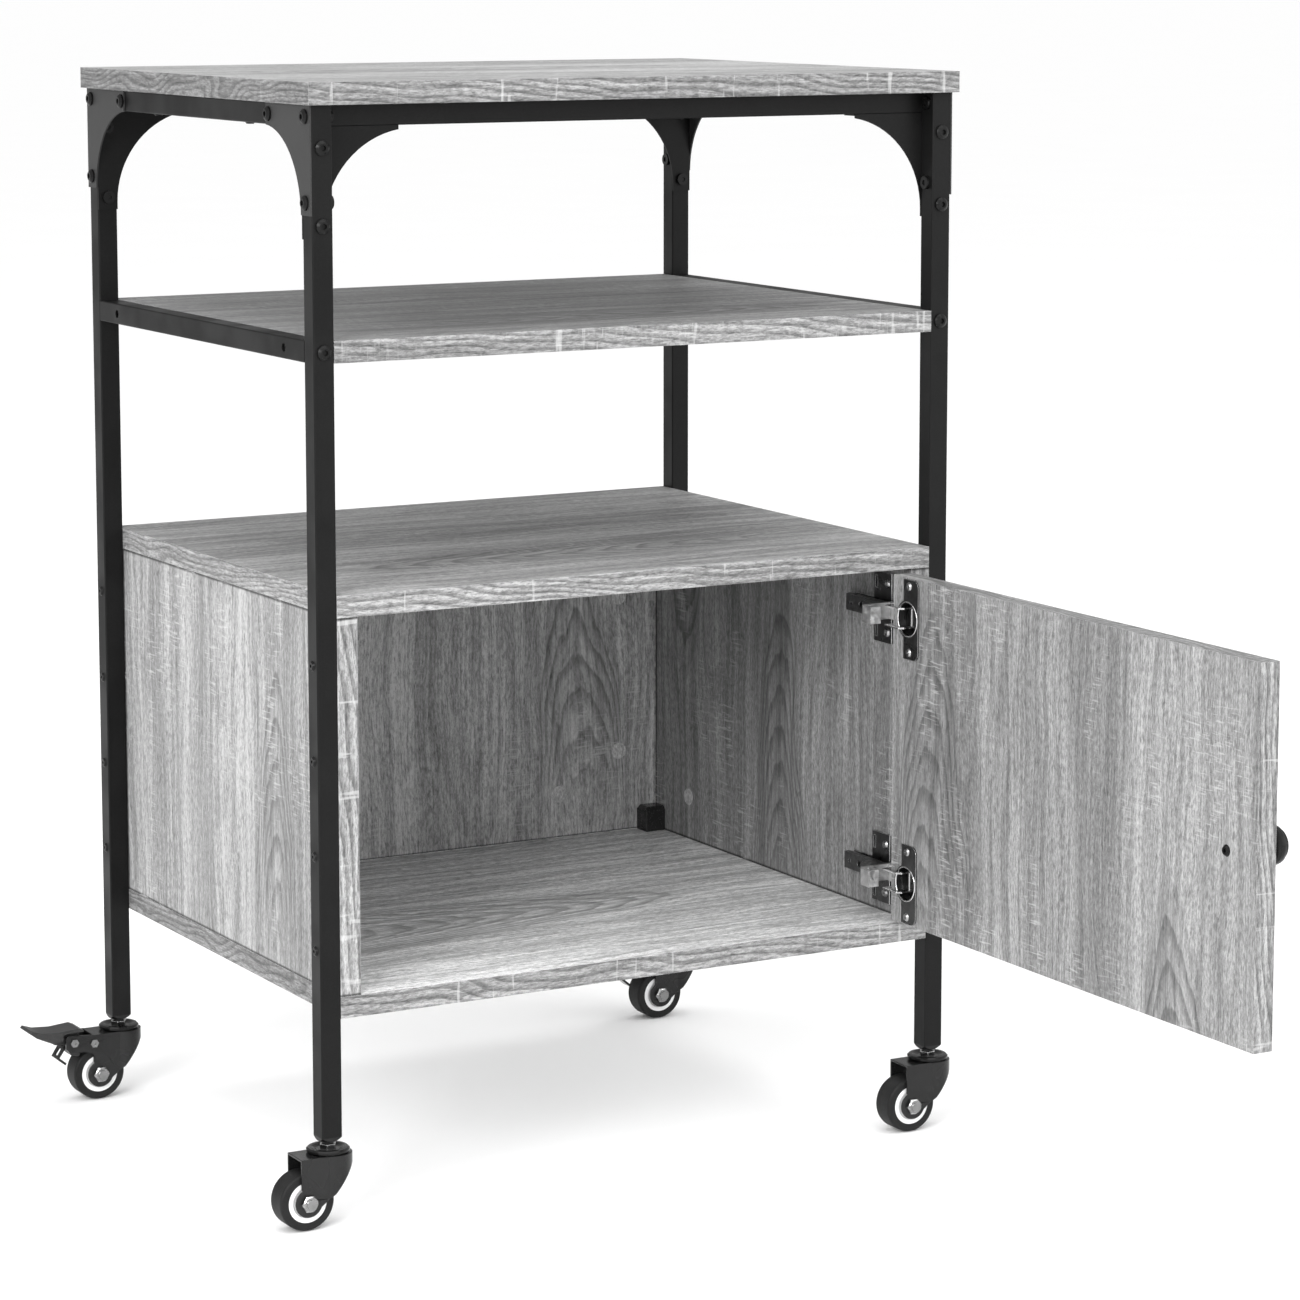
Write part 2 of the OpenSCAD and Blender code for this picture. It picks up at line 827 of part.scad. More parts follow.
// Side view of a fork cheek: x along the trail, y up
module cheek_outline(braked) {
    difference() {
        union() {
            polygon([
                [neck_x, 30], [neck_x, crown_z], [20, crown_z], [20, 46], [14, 42],
                [0, 24], [-trail + 8.2, 15.4], [-trail, 20]
            ]);
            translate([-trail, wheel_r]) circle(fork_round);
            if (braked)
                polygon([
                    [ear_x + 2, crown_z + 1.6], [neck_x + 3, crown_z], [neck_x + 3, 34.5],
                    [-31, 38.2], [-44.5, 39.6], [ear_x, 42.4], [ear_x, crown_z]
                ]);
        }
        translate([-trail - 12, -1]) square([24, 9]);
    }
}

// Stamped fork: crown plate, two cheeks and a rounded front skirt
module fork(sx, sy, braked) {
    inner_w = fork_w - 2 * fork_t;
    rear_x = braked ? ear_x : -trail - 12;
    color(black) cart()
        translate([sx * leg_x, sy * leg_y, 0])
            difference() {
                intersection() {
                    linear_extrude(80)
                        difference() {
                            crown_outline(fork_w, rear_x);
                            crown_outline(inner_w, rear_x - 5);
                        }
                    translate([0, fork_w, 0])
                        rotate([90, 0, 0]) linear_extrude(2 * fork_w) cheek_outline(braked);
                }
                translate([0, 0, wheel_r])
                    hole_y(-trail, 0, axle_r + 0.1, fork_w + 4);
                if (braked) {
                    hole_y(pivot[0], pivot[1], pin_r, fork_w + 4);
                    hole_y(second_pin[0], second_pin[1], pin_r, fork_w + 4);
                }
            }
    color(black) cart()
        translate([sx * leg_x, sy * leg_y, 0])
            difference() {
                translate([0, 0, crown_z - fork_t])
                    linear_extrude(fork_t) crown_outline(fork_w, neck_x);
                translate([0, 0, 40]) cylinder(r = swivel_r + 0.05, h = 20);
            }
}

module fork_front_left() { fork(left, front, false); }
module fork_front_right() { fork(right, front, false); }
module fork_rear_left() { fork(left, rear, true); }
module fork_rear_right() { fork(right, rear, true); }

// Axle bolt with a domed hex head and a lock nut; braked casters add two pins
head_across = 6.3;
pin_head = 3.3;
module axle(sx, sy, braked) {
    color(steel) cart()
        translate([sx * leg_x, sy * leg_y, 0]) {
            translate([-trail, 0, wheel_r])
                rotate([90, 0, 0]) {
                    cylinder(r = axle_r, h = fork_w + 2 * axle_end, center = true);
                    translate([0, 0, fork_w / 2]) {
                        intersection() {
                            cylinder(r = head_across, h = axle_end - 0.9, $fn = 6);
                            cylinder(r1 = head_across + 1.6, r2 = head_across - 1.5,
                                     h = axle_end - 0.9);
                        }
                        cylinder(r1 = 4.2, r2 = 3.2, h = axle_end);
                    }
                    translate([0, 0, -fork_w / 2 - locknut_h])
                        cylinder(r = locknut_r, h = locknut_h, $fn = 6);
                }
            if (braked)
                for (p = [pivot, second_pin])
                    translate([p[0], 0, p[1]])
                        rotate([90, 0, 0]) {
                            cylinder(r = pin_r, h = fork_w + 1, center = true);
                            for (s = [-1, 1])
                                facing(s) translate([0, 0, fork_w / 2])
                                    difference() {
                                        cylinder(r = pin_head, h = 1.5, $fn = 6);
                                        translate([0, 0, 0.9]) cylinder(r = 1.1, h = 1);
                                    }
                        }
        }
}

// Turns a head to the other cheek where s is negative
module facing(s) {
    mirror([0, 0, s > 0 ? 0 : 1]) children();
}

module axle_front_left() { axle(left, front, false); }
module axle_front_right() { axle(right, front, false); }
module axle_rear_left() { axle(left, rear, true); }
module axle_rear_right() { axle(right, rear, true); }

// Wheel core with a bored hub and a raised white rim on each face
rim_r = 14.2;
hub_half = wheel_w / 2 + 0.6;
rim_half = wheel_w / 2 - 0.2;
web_half = wheel_w / 2 - 1.5;
module wheel(sx, sy) {
    color(white) cart()
        translate([sx * leg_x - trail, sy * leg_y, wheel_r])
            rotate([90, 0, 0])
                rotate_extrude($fn = 96)
                    polygon([
                        [axle_r + 0.05, -hub_half], [hub_r, -hub_half], [web_r[0], -web_half],
                        [web_r[1], -web_half], [rim_inner, -rim_half], [rim_r, -rim_half],
                        [rim_r, rim_half], [rim_inner, rim_half], [web_r[1], web_half],
                        [web_r[0], web_half], [hub_r, hub_half], [axle_r + 0.05, hub_half]
                    ]);
}

module wheel_front_left() { wheel(left, front); }
module wheel_front_right() { wheel(right, front); }
module wheel_rear_left() { wheel(left, rear); }
module wheel_rear_right() { wheel(right, rear); }

module tyre(sx, sy) {
    color(rubber) cart()
        translate([sx * leg_x - trail, sy * leg_y, wheel_r])
            rotate([90, 0, 0])
                rotate_extrude($fn = 96)
                    polygon([
                        [rim_r, -wheel_w / 2], [wheel_r - 1.1, -wheel_w / 2], [wheel_r - 0.3, -wheel_w / 2 + 0.8],
                        [wheel_r, -wheel_w / 2 + 2], [wheel_r, wheel_w / 2 - 2], [wheel_r - 0.3, wheel_w / 2 - 0.8],
                        [wheel_r - 1.1, wheel_w / 2], [rim_r, wheel_w / 2]
                    ]);
}

module tyre_front_left() { tyre(left, front); }
module tyre_front_right() { tyre(right, front); }
module tyre_rear_left() { tyre(left, rear); }
module tyre_rear_right() { tyre(right, rear); }

// Side view of the brake pedal: tread plate, pivot block and the cam shoe below it
module tread_outline() {
    polygon([
        [-pedal_tip, 57.7], [-pedal_tip + 1.5, 59.5], [-pedal_tip + 9, 56.9], [-52, 55.9], [-36.5, 57.3],
        [-32.5, 55.5], [-32.5, 54.1], [-46, 54.1], [-48.8, 53.1], [-49, 49.1], [-57, 47.8], [-pedal_tip + 5, 53.7]
    ]);
}

module shoe_outline() {
    polygon([
        [-50, 55.1], [-34.5, 55.1], [-34.5, 48.1], [-36.5, 42.1], [-33.9, 36.4], [-35.2, 34.3], [-41, 35.7],
        [-45, 41.6], [-46, 44.7], [-54.5, 45.5], [-54.5, 49.1]
    ]);
}

module side_profile(width) {
    translate([0, width / 2, 0]) rotate([90, 0, 0]) linear_extrude(width) children();
}

module pedal(sx) {
    color(black) cart()
        translate([sx * leg_x, rear * leg_y, 0])
            difference() {
                union() {
                    difference() {
                        side_profile(pedal_w) tread_outline();
                        translate([-pedal_tip + 7, -pedal_w / 2 + 1.6, 43.1])
                            cube([pedal_tip - 7 - 40, pedal_w - 3.2, 11]);
                    }
                    side_profile(shoe_w) shoe_outline();
                }
                hole_y(pivot[0], pivot[1], pin_r + 0.05, pedal_w + 4);
            }
}

module pedal_left() { pedal(left); }
module pedal_right() { pedal(right); }

// Bent leaf with a slot, hung from the shoe under the pedal
module leaf_outline() {
    polygon([
        [-46, 44.7], [-52.6, 34.4], [-45.4, 28.4], [-44.4, 29.9], [-50, 34.6], [-45, 41.6]
    ]);
}

module brake_spring(sx) {
    color(black) cart()
        translate([sx * leg_x, rear * leg_y, 0])
            difference() {
                side_profile(leaf_w) leaf_outline();
                translate([-49.2, 0, 38.5]) rotate([0, 32, 0]) cube([6, leaf_w - 4.5, 5.5], center = true);
            }
}

module brake_spring_left() { brake_spring(left); }
module brake_spring_right() { brake_spring(right); }

worktop();
leg_front_left();
leg_front_right();
leg_rear_left();
leg_rear_right();
top_rail_left();
top_rail_right();
crossbar_front();
crossbar_rear();
mid_rail_left();
mid_rail_right();
side_gussets();
cross_gussets();
middle_shelf();
cabinet_top();
cabinet_bottom();
cabinet_side_left();
cabinet_side_right();
cabinet_back();
corner_blocks();
cam_covers();
dowels();
leg_plugs();
gusset_bolts();
rail_bolts();
rail_inserts();
board_screws();
worktop_screws();
hinge_plates();
hinge_arms();
hinge_plate_screws();
hinge_pins();
door_panel();
hinge_cups();
hinge_straps();
hinge_cup_screws();
door_knob();
knob_screw();
caster_stems();
caster_nuts();
fork_front_left();
fork_front_right();
fork_rear_left();
fork_rear_right();
axle_front_left();
axle_front_right();
axle_rear_left();
axle_rear_right();
wheel_front_left();
wheel_front_right();
wheel_rear_left();
wheel_rear_right();
tyre_front_left();
tyre_front_right();
tyre_rear_left();
tyre_rear_right();
pedal_left();
pedal_right();
brake_spring_left();
brake_spring_right();
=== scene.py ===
import json
import math
from collections import namedtuple

import bmesh
import bpy
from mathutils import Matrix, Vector


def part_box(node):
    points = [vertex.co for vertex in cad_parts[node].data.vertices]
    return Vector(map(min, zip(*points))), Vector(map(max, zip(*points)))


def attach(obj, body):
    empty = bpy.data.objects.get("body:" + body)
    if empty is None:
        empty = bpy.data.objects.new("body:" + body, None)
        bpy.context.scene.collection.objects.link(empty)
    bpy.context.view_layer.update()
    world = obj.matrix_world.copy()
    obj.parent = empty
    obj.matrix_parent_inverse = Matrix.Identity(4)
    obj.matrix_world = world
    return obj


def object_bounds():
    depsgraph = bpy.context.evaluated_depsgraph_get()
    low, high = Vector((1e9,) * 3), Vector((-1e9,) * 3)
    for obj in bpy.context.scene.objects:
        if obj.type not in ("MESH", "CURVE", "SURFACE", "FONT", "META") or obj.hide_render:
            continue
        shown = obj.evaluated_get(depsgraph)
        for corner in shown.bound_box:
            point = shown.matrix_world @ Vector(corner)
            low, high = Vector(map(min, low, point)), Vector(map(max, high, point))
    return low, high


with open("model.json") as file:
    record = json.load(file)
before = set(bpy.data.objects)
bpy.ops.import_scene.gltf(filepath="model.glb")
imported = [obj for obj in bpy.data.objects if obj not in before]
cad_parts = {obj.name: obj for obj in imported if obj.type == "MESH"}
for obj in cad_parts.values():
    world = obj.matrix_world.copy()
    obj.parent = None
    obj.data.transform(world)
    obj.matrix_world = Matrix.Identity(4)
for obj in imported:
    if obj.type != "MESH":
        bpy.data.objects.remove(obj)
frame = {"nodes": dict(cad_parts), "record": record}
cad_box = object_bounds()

# The cart's finishes, some with painted light and shade in their colour, the rolled lips of its
# hinge cups, and a plain pale studio. Metres, in the CAD frame: X to the right, Y to the rear, Z
# up. The
# CAD nodes keep their place and mesh.

MM = 0.001
NODES = frame["nodes"]
CORNERS = ("front_left", "front_right", "rear_left", "rear_right")

# A board's print: the axes of the grain and of the width, the lightness of its faces and of
# its edges, where it was cut from the endless pattern, and its cathedral figures. The lightness
# is partly the board's own tone and partly painted light and shade for how light falls on it:
# the cabinet floor and back are painted lighter, the shelf, right wall and door darker, and
# the edges no lighter than the plain grey.
Board = namedtuple("Board", "grain across tone edge_tone place figures")
# Metres from the middle of the board; way is 1 where the arches point up the grain.
Figure = namedtuple("Figure", "across apex way half_width length")
BOARDS = {
    "worktop": Board("X", "Y", 1.00, 0.72, (0.31, 0.05, 0.40), (
        Figure(0.03, 0.16, 1, 0.070, 0.50),)),
    "middle_shelf": Board("X", "Y", 0.76, 0.80, (1.70, 0.62, 0.12), (
        Figure(-0.11, 0.20, 1, 0.065, 0.46),)),
    "cabinet_top": Board("X", "Y", 1.00, 0.84, (2.90, 0.17, 0.75), (
        Figure(-0.09, -0.17, -1, 0.065, 0.46),)),
    # Painted light: the cabinet floor's face tone of 2.20 lights it far past the oak's own grey.
    "cabinet_bottom": Board("X", "Y", 2.20, 0.82, (4.10, 0.48, 0.33), (
        Figure(-0.03, 0.12, 1, 0.070, 0.40),)),
    "cabinet_side_left": Board("Z", "Y", 1.02, 0.80, (5.30, 0.91, 0.21), (
        Figure(-0.09, 0.09, 1, 0.045, 0.26),)),
    "cabinet_side_right": Board("Z", "Y", 0.76, 0.80, (6.60, 0.36, 0.58), (
        Figure(-0.015, 0.09, 1, 0.050, 0.30), Figure(0.13, 0.02, -1, 0.040, 0.20))),
    "cabinet_back": Board("Z", "X", 1.18, 1.00, (7.20, 0.74, 0.87), (
        Figure(0.150, 0.09, 1, 0.045, 0.24), Figure(-0.09, 0.03, 1, 0.045, 0.24))),
    "door_panel": Board("Z", "Y", 0.82, 0.86, (8.45, 0.23, 0.66), (
        Figure(0.162, 0.112, 1, 0.062, 0.30), Figure(-0.13, -0.05, 1, 0.050, 0.20))),
}

# Where the cabinet's boards meet: the axis across the joint and its place on that axis. A line of
# painted shade runs along each.
ON_FLOOR = ("Z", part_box("cabinet_bottom")[1].z)
UNDER_TOP = ("Z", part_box("cabinet_top")[0].z)
AT_BACK = ("Y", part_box("cabinet_back")[0].y)
AT_SIDES = tuple(("X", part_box("cabinet_side_" + side)[end].x)
                 for side, end in (("left", 1), ("right", 0)))
SHADED_JOINTS = {
    "cabinet_back": (ON_FLOOR, UNDER_TOP, *AT_SIDES),
    "cabinet_side_left": (ON_FLOOR, UNDER_TOP, AT_BACK),
    "cabinet_side_right": (ON_FLOOR, UNDER_TOP, AT_BACK),
}


# ---------------------------------------------------------------- shader helpers

# The Mix node's A and B inputs and its output, for each kind of data.
MIX_SOCKETS = {"FLOAT": (2, 3, 0), "VECTOR": (4, 5, 1), "RGBA": (6, 7, 2)}


class Shader:
    """A node material, with one short call for each kind of node it uses."""

    def __init__(self, name, roughness=0.5, metallic=0.0, specular=0.5):
        self.material = bpy.data.materials.new(name)
        self.material.use_nodes = True
        self.tree = self.material.node_tree
        self.bsdf = next(n for n in self.tree.nodes if n.type == "BSDF_PRINCIPLED")
        self.bsdf.inputs["Roughness"].default_value = roughness
        self.bsdf.inputs["Metallic"].default_value = metallic
        self.bsdf.inputs["Specular IOR Level"].default_value = specular
        self.coords = self.tree.nodes.new("ShaderNodeTexCoord")

    def feed(self, node, key, value):
        """Links an output to an input, or sets a plain number or colour on it."""
        if isinstance(value, bpy.types.NodeSocket):
            self.tree.links.new(value, node.inputs[key])
        else:
            node.inputs[key].default_value = value

    def place(self, vector, scale=(1, 1, 1), offset=(0, 0, 0)):
        node = self.tree.nodes.new("ShaderNodeMapping")
        node.inputs["Scale"].default_value = scale
        node.inputs["Location"].default_value = offset
        self.feed(node, "Vector", vector)
        return node.outputs["Vector"]

    def noise(self, vector, scale=1.0, detail=2.0, rough=0.5, stretch=(1, 1, 1), offset=(0, 0, 0)):
        node = self.tree.nodes.new("ShaderNodeTexNoise")
        node.inputs["Scale"].default_value = scale
        node.inputs["Detail"].default_value = detail
        node.inputs["Roughness"].default_value = rough
        self.feed(node, "Vector", self.place(vector, scale=stretch, offset=offset))
        return node.outputs["Fac"]

    def span(self, value, low, high, at_low=0.0, at_high=1.0):
        """Maps low..high to at_low..at_high, smoothly, and holds it there outside. The span
        falls where low is the greater."""
        node = self.tree.nodes.new("ShaderNodeMapRange")
        node.interpolation_type = "SMOOTHSTEP"
        for key, number in zip(("From Min", "From Max", "To Min", "To Max"),
                               (low, high, at_low, at_high)):
            node.inputs[key].default_value = number
        self.feed(node, "Value", value)
        return node.outputs["Result"]

    def math(self, operation, a, b=0.0):
        node = self.tree.nodes.new("ShaderNodeMath")
        node.operation = operation
        self.feed(node, 0, a)
        self.feed(node, 1, b)
        return node.outputs["Value"]

    def product(self, *factors):
        result = factors[0]
        for factor in factors[1:]:
            result = self.math("MULTIPLY", result, factor)
        return result

    def blend(self, factor, a, b, kind="FLOAT"):
        """a where factor is 0 and b where it is 1."""
        input_a, input_b, result = MIX_SOCKETS[kind]
        node = self.tree.nodes.new("ShaderNodeMix")
        node.data_type = kind
        self.feed(node, "Factor", factor)
        self.feed(node, input_a, a)
        self.feed(node, input_b, b)
        return node.outputs[result]

    def split(self, vector):
        node = self.tree.nodes.new("ShaderNodeSeparateXYZ")
        self.feed(node, "Vector", vector)
        return node.outputs

    def by_axis(self, kind):
        """The object's coordinates or its normals, under the names of the axes."""
        return dict(zip("XYZ", self.split(self.coords.outputs[kind])))

    def join(self, x, y, z):
        node = self.tree.nodes.new("ShaderNodeCombineXYZ")
        for key, value in enumerate((x, y, z)):
            self.feed(node, key, value)
        return node.outputs["Vector"]

    def grey(self, value):
        return self.join(value, value, value)

    def bump(self, height, strength, distance):
        node = self.tree.nodes.new("ShaderNodeBump")
        node.inputs["Strength"].default_value = strength
        node.inputs["Distance"].default_value = distance
        self.feed(node, "Height", height)
        self.feed(self.bsdf, "Normal", node.outputs["Normal"])

    def finish(self, colour, roughness=None):
        self.feed(self.bsdf, "Base Color", colour)
        if roughness is not None:
            self.feed(self.bsdf, "Roughness", roughness)
        return self.material


# ---------------------------------------------------------------- wood

OAK_GREY = 0.335
PALEST = 1.45 * OAK_GREY
TICK_GREY = 1.9 * OAK_GREY
FACING = 0.7            # the share of a normal along an axis from which it counts as that side
RING_STEP = 30 * MM     # between the rings of a cathedral, down its middle
RING_SWAY = 40 * MM
GRAIN_SWAY = 30 * MM
PLANKS_PER_METRE = 17
PLANK_STRIDE = 3.71     # from one plank's lightness to the next, in the noise
# Painted shade along the corners where the cabinet's boards meet: its darkness and its width.
JOINT_SHADE_DARK = 0.22
JOINT_SHADE_WIDTH = 1.5 * MM
EDGE_LINES = 170        # rings per metre through the thickness, and per metre along the edge
EDGE_SLANT = 16
BEECH_DARK = (0.42, 0.28, 0.14, 1)
BEECH_PALE = (0.62, 0.46, 0.27, 1)


def board_axes(shader, name, board):
    """Coordinates from the board's middle: X up the grain, Y across it, Z through it. Also
    1 where the surface is an edge and not a face, and 1 where it is an end of the grain."""
    low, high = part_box(name)
    from_middle = shader.place(shader.coords.outputs["Object"], offset=-(low + high) / 2)
    axes = dict(zip("XYZ", shader.split(from_middle)))
    normals = shader.by_axis("Normal")
    thin = ({"X", "Y", "Z"} - {board.grain, board.across}).pop()
    edge = shader.math("LESS_THAN", shader.math("ABSOLUTE", normals[thin]), FACING)
    end = shader.math("GREATER_THAN", shader.math("ABSOLUTE", normals[board.grain]), FACING)
    along_grain = shader.join(axes[board.grain], axes[board.across], axes[thin])
    along_end = shader.join(axes[board.across], axes[board.grain], axes[thin])
    return shader.blend(end, along_grain, along_end, "VECTOR"), edge, end


def arches(shader, vector, wobble, figure):
    """Rings of one cathedral, nested arches that close at the apex, and where they show."""
    along, across, _ = shader.split(vector)
    aside = shader.math("ADD", shader.math("SUBTRACT", across, figure.across),
                        shader.math("MULTIPLY", shader.math("SUBTRACT", wobble, 0.5), RING_SWAY))
    inside = shader.product(shader.math("SUBTRACT", figure.apex, along), figure.way)
    sides = shader.product(aside, aside, figure.length / figure.half_width ** 2)
    depth = shader.math("SUBTRACT", inside, sides)
    tremble = shader.noise(vector, stretch=(12, 70, 70), detail=3.0)
    field = shader.math("ADD", shader.math("DIVIDE", depth, RING_STEP),
                        shader.math("MULTIPLY", tremble, 1.4))
    where = shader.product(shader.span(depth, -0.04, 0.02),
                           shader.span(inside, figure.length, figure.length * 0.5))
    return shader.product(ring_line(shader, field), where), where


def ring_line(shader, field):
    """A dark line at each whole step of a field, sharp on one side and fading on the other."""
    ring = shader.math("FRACT", field)
    return shader.math("MULTIPLY", shader.span(ring, 0.0, 0.12), shader.span(ring, 0.75, 0.12))


def edge_lines(shader, vector, end):
    """The edge band's rings: shallow slanted lines on the long edges, arcs on the ends."""
    along, _, depth = shader.split(vector)
    slow = shader.noise(vector, stretch=(10, 10, 26), offset=(1, 7, 3), detail=1.0)
    field = shader.math("ADD", shader.math("MULTIPLY", depth, EDGE_LINES),
                        shader.math("MULTIPLY", along, EDGE_SLANT))
    field = shader.math("ADD", field, shader.product(slow, shader.blend(end, 4.0, 10.0)))
    return shader.product(ring_line(shader, field), shader.blend(end, 0.50, 0.46))


def plank_tone(shader, vector):
    """Planks side by side, each of its own lightness, with crisp but wandering borders."""
    across = shader.split(vector)["Y"]
    cell = shader.math("FLOOR", shader.math("MULTIPLY", across, PLANKS_PER_METRE))
    own = shader.noise(
        shader.join(0.0, shader.math("MULTIPLY", cell, PLANK_STRIDE), 0.0), detail=0.0)
    drift = shader.noise(vector, stretch=(0.8, 22, 22), detail=3.0, rough=0.6)
    return shader.product(shader.span(own, 0.30, 0.70, 0.84, 1.12),
                          shader.span(drift, 0.30, 0.70, 0.80, 1.16))


def joint_shade(shader, name):
    """Painted shade: a dark line in the corner where a wall of the cabinet stands on the floor or
    meets another wall.
    """
    axes = shader.by_axis("Object")
    shade = 1.0
    for axis, level in SHADED_JOINTS.get(name, ()):
        away = shader.math("ABSOLUTE", shader.math("SUBTRACT", axes[axis], level))
        shade = shader.product(
            shade, shader.span(away, JOINT_SHADE_WIDTH * 0.6, JOINT_SHADE_WIDTH * 1.6, JOINT_SHADE_DARK, 1.0))
    return shade


def saw_marks(shader, vector):
    """Pale rough-sawn ticks across the grain, in a few loose patches."""
    ticks = shader.noise(vector, stretch=(620, 60, 60), detail=2.0, rough=0.6)
    patch = shader.noise(vector, stretch=(10, 22, 22), offset=(2, 5, 1), detail=2.0)
    return shader.product(shader.span(ticks, 0.54, 0.68), shader.span(patch, 0.52, 0.68))


def edge_nicks(shader, vector, edge, end):
    """Pale bars through the thickness of the long edges, here and there."""
    bars = shader.noise(vector, stretch=(120, 4, 12), detail=3.0, rough=0.6)
    return shader.product(shader.math("SUBTRACT", edge, end), shader.span(bars, 0.61, 0.68))


def oak(name, board):
    """Grey oak print: planks, cathedrals, short fibres, pores, saw marks and nicked edges."""
    shader = Shader("oak_" + name, roughness=0.52, specular=0.30)
    local, edge, end = board_axes(shader, name, board)
    vector = shader.place(local, offset=board.place)
    along, across, depth = shader.split(vector)
    sway = shader.noise(vector, stretch=(4.5, 16, 16), detail=2.0)
    sideways = shader.math("ADD", across, shader.math("MULTIPLY", sway, GRAIN_SWAY))
    bent = shader.join(along, sideways, depth)

    stripes = shader.noise(bent, stretch=(2.2, 150, 150), detail=5.0, rough=0.7)
    fibres = shader.noise(bent, stretch=(190, 760, 760), detail=4.0, rough=0.80)
    hairs = shader.noise(bent, stretch=(16, 700, 700), detail=2.0, rough=0.6)
    pores = shader.noise(bent, stretch=(120, 620, 620), offset=(4, 4, 4), detail=1.0)
    slow = shader.noise(bent, stretch=(1.5, 13, 13), detail=1.0)
    lines, calm = shader.product(ring_line(shader, shader.product(slow, 14)), 0.18), 0.0
    for figure in board.figures:
        arch, where = arches(shader, local, sway, figure)
        lines = shader.math("MAXIMUM", lines, shader.product(arch, 0.50))
        calm = shader.math("MAXIMUM", calm, where)
    lines = shader.blend(edge, lines, edge_lines(shader, vector, end))
    fibres = shader.blend(shader.product(calm, 0.45), fibres, 0.5)

    # The board's face and edge lightness carry painted light and shade, and the joint lines carry
    # painted shade.
    tone = shader.product(
        OAK_GREY, shader.blend(edge, board.tone, board.edge_tone),
        plank_tone(shader, bent), joint_shade(shader, name),
        shader.span(calm, 0.0, 1.0, 1.0, 0.90),
        shader.span(stripes, 0.30, 0.70, 0.72, 1.22),
        shader.span(fibres, 0.33, 0.67, 0.60, 1.40),
        shader.span(hairs, 0.30, 0.70, 0.84, 1.16),
        shader.span(pores, 0.33, 0.39, 0.70, 1.0),
        shader.math("SUBTRACT", 1.06, lines))
    tone = shader.math("MINIMUM", tone, PALEST * max(board.tone, 1.0))
    ticks = shader.math("MAXIMUM", edge_nicks(shader, vector, edge, end),
                        shader.product(saw_marks(shader, vector), shader.blend(edge, 1.0, 0.3)))
    tone = shader.blend(shader.product(ticks, 0.40), tone, TICK_GREY)

    height = shader.math("SUBTRACT", shader.math("ADD", fibres, ticks), lines)
    shader.bump(height, 0.16, 0.3 * MM)
    return shader.finish(shader.grey(tone), shader.span(fibres, 0.3, 0.7, 0.46, 0.60))


def oak_edge_highlight():
    """The lighter arris of a board: partly wear, partly a painted highlight."""
    shader = Shader("oak_edge_highlight", roughness=0.42, specular=0.4)
    wear_and_highlight = shader.noise(shader.coords.outputs["Object"], scale=150, detail=3.0)
    return shader.finish(shader.grey(shader.span(wear_and_highlight, 0.32, 0.60, 0.40, 0.95)))


def raw_wood():
    """Beech, for the dowels, with the grain along Z."""
    shader = Shader("raw_wood", roughness=0.7)
    lines = shader.noise(shader.coords.outputs["Object"], stretch=(700, 700, 20))
    return shader.finish(
        shader.blend(shader.span(lines, 0.3, 0.7), BEECH_DARK, BEECH_PALE, "RGBA"))


# ---------------------------------------------------------------- paint, metal and plastic

# Painted shade on a hinge arm behind its front: how far it takes to fade in, and the share of
# lightness it leaves.
PAINTED_SHADE_FADE = 8 * MM
PAINTED_SHADE_SHARE = 0.18
ARM_NOSE = 15 * MM      # the front of a hinge arm left without painted shade, from its foremost point


def powder_coat(name, tone, rough=0.45, specular=0.25):
    """Fine textured paint, with a slow change of gloss and faint dust in the texture."""
    shader = Shader(name, roughness=rough, specular=specular)
    vector = shader.coords.outputs["Object"]
    grit = shader.noise(vector, scale=2200, detail=2.0)
    patch = shader.noise(vector, scale=24, detail=2.0)
    colour = shader.product(tone, shader.span(patch, 0.3, 0.7, 0.85, 1.18),
                            shader.span(grit, 0.35, 0.70, 0.80, 1.40))
    shader.bump(grit, 0.12, 0.12 * MM)
    return shader.finish(
        shader.grey(colour), shader.span(patch, 0.3, 0.7, rough - 0.08, rough + 0.08))


def bare_metal(name, tone, rough, stretch=(900, 60, 60), facet_reflection_share=0.0, painted_shade_from=None):
    """Plated steel with fine drawn scratches and slightly cloudy gloss. With a facet share, each
    face has a painted reflection, a lightness of its own by its direction. Behind the given Y
    place the steel has painted shade, standing in for the dark cabinet it reflects."""
    shader = Shader(name, roughness=rough, metallic=1.0)
    vector = shader.coords.outputs["Object"]
    lines = shader.noise(vector, stretch=stretch)
    cloud = shader.noise(vector, scale=160, detail=2.0)
    tone = shader.product(tone, shader.span(cloud, 0.3, 0.7, 0.80, 1.0))
    # Painted shade behind the given Y place.
    if painted_shade_from is not None:
        rearward = shader.by_axis("Object")["Y"]
        tone = shader.product(
            tone, shader.span(rearward, painted_shade_from, painted_shade_from + PAINTED_SHADE_FADE, 1.0, PAINTED_SHADE_SHARE))
    # Painted reflection: each face lighter or darker by the direction it faces.
    if facet_reflection_share:
        facet_reflection = shader.noise(shader.coords.outputs["Normal"], scale=2.6, detail=1.0)
        tone = shader.product(tone, shader.span(facet_reflection, 0.38, 0.62, 1 - facet_reflection_share, 1 + facet_reflection_share))
    shader.bump(lines, 0.05, 0.1 * MM)
    return shader.finish(
        shader.grey(tone), shader.span(lines, 0.3, 0.7, rough * 0.7, rough * 1.4))


